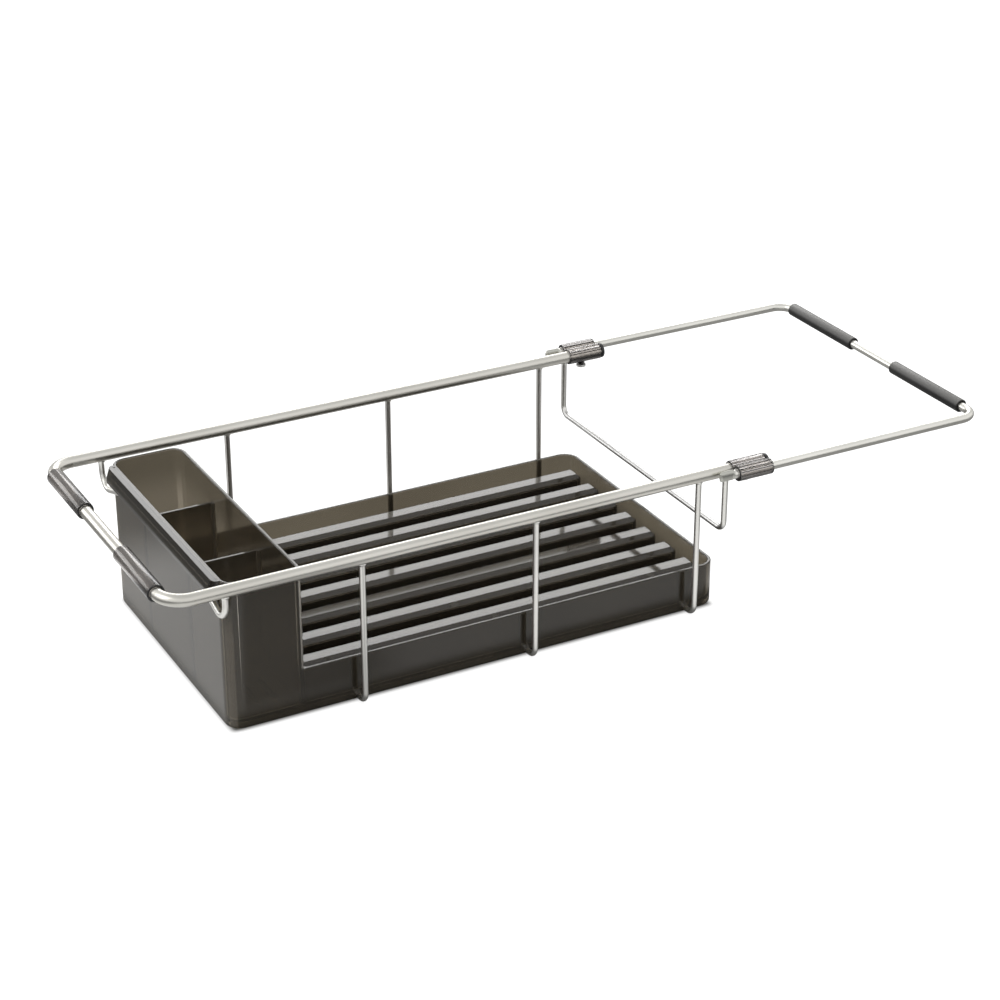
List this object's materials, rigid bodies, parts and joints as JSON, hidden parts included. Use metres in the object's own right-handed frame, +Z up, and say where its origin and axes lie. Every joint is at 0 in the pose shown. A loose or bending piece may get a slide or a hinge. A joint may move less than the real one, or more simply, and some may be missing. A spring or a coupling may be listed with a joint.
{
  "type": "over-sink dish drainer with cutlery holder",
  "caption": "Extendable steel frame that spans a sink and carries a smoke plastic drip tray with ribs for dishes and a divided cutlery holder.",
  "frame": {"origin": "below the middle of the extended drainer's box, in the plane of the cradle wires' undersides", "axes": "+X from the cutlery holder towards the extension, +Y from the near long side to the far one, +Z up"},
  "size_m": [0.692, 0.2806, 0.1268],
  "materials": {
    "tube_steel": "satin, slightly warm",
    "wire_steel": "satin",
    "rod_steel": "satin",
    "screw_steel": "bright",
    "smoke_plastic": "polished, smoke tinted and slightly translucent",
    "sleeve_plastic": "glossy smoke grey",
    "end_sleeve_plastic": "dark grey with a soft sheen",
    "clamp_plastic": "smoke grey with fine ridges",
    "plug_plastic": "black"
  },
  "bodies": {
    "frame": {"main_frame_tube": "tube_steel", "cradle_wire_1": "wire_steel", "cradle_wire_2": "wire_steel", "cradle_wire_3": "wire_steel", "end_tie_wire": "wire_steel", "lip_bar_wire": "wire_steel", "left_sleeve_near": "sleeve_plastic", "left_sleeve_far": "sleeve_plastic", "clamp_near": "clamp_plastic", "clamp_far": "clamp_plastic", "clamp_screw_near": "screw_steel", "clamp_screw_far": "screw_steel", "tube_plug_near": "plug_plastic", "tube_plug_far": "plug_plastic"},
    "extension": {"extension_rod": "rod_steel", "end_sleeve_near": "end_sleeve_plastic", "end_sleeve_far": "end_sleeve_plastic"},
    "tray": {"tray": "smoke_plastic"}
  },
  "joints": [
    {"name": "extension_slide", "type": "slide", "parent": "frame", "child": "extension", "axis": [1, 0, 0], "range_m": [-0.178, 0.0025]},
    {"name": "tray_lift", "type": "slide", "parent": "frame", "child": "tray", "axis": [0, 0, 1], "range_m": [0, 0.025]}
  ]
}
